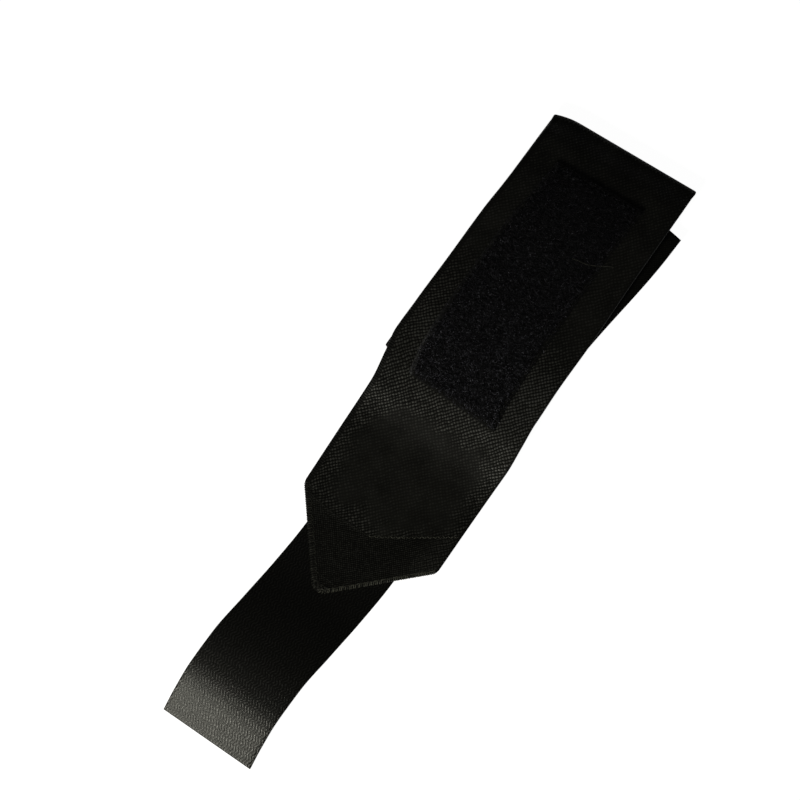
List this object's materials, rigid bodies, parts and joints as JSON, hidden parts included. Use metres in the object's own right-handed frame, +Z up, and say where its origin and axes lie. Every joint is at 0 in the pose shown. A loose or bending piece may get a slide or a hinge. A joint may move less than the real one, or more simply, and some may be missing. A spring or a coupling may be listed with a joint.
{
  "type": "wrist wrap",
  "caption": "Elastic wrist wrap lying folded, with a pointed tab, a free hook-tape strap, a raised loop-pile patch and a thumb loop tucked in the fold.",
  "frame": {"origin": "centre of the bounding box at its base, on the surface that the wrap lies on", "axes": "+X across the band, +Y along the band from the strap's free end to the first fold, +Z up"},
  "size_m": [0.089, 0.352, 0.0134],
  "materials": {
    "elastic_weave": "black elastic weave with raised diagonal knots",
    "hook_tape": "black hook tape with a herringbone woven back",
    "loop_pile": "black loop pile, matted and speckled",
    "loop_ribbon": "black elastic ribbon"
  },
  "bodies": {
    "root": {"elastic_band": "elastic_weave", "hook_strap": "hook_tape", "pile_patch": "loop_pile", "thumb_loop": "loop_ribbon"}
  },
  "joints": []
}
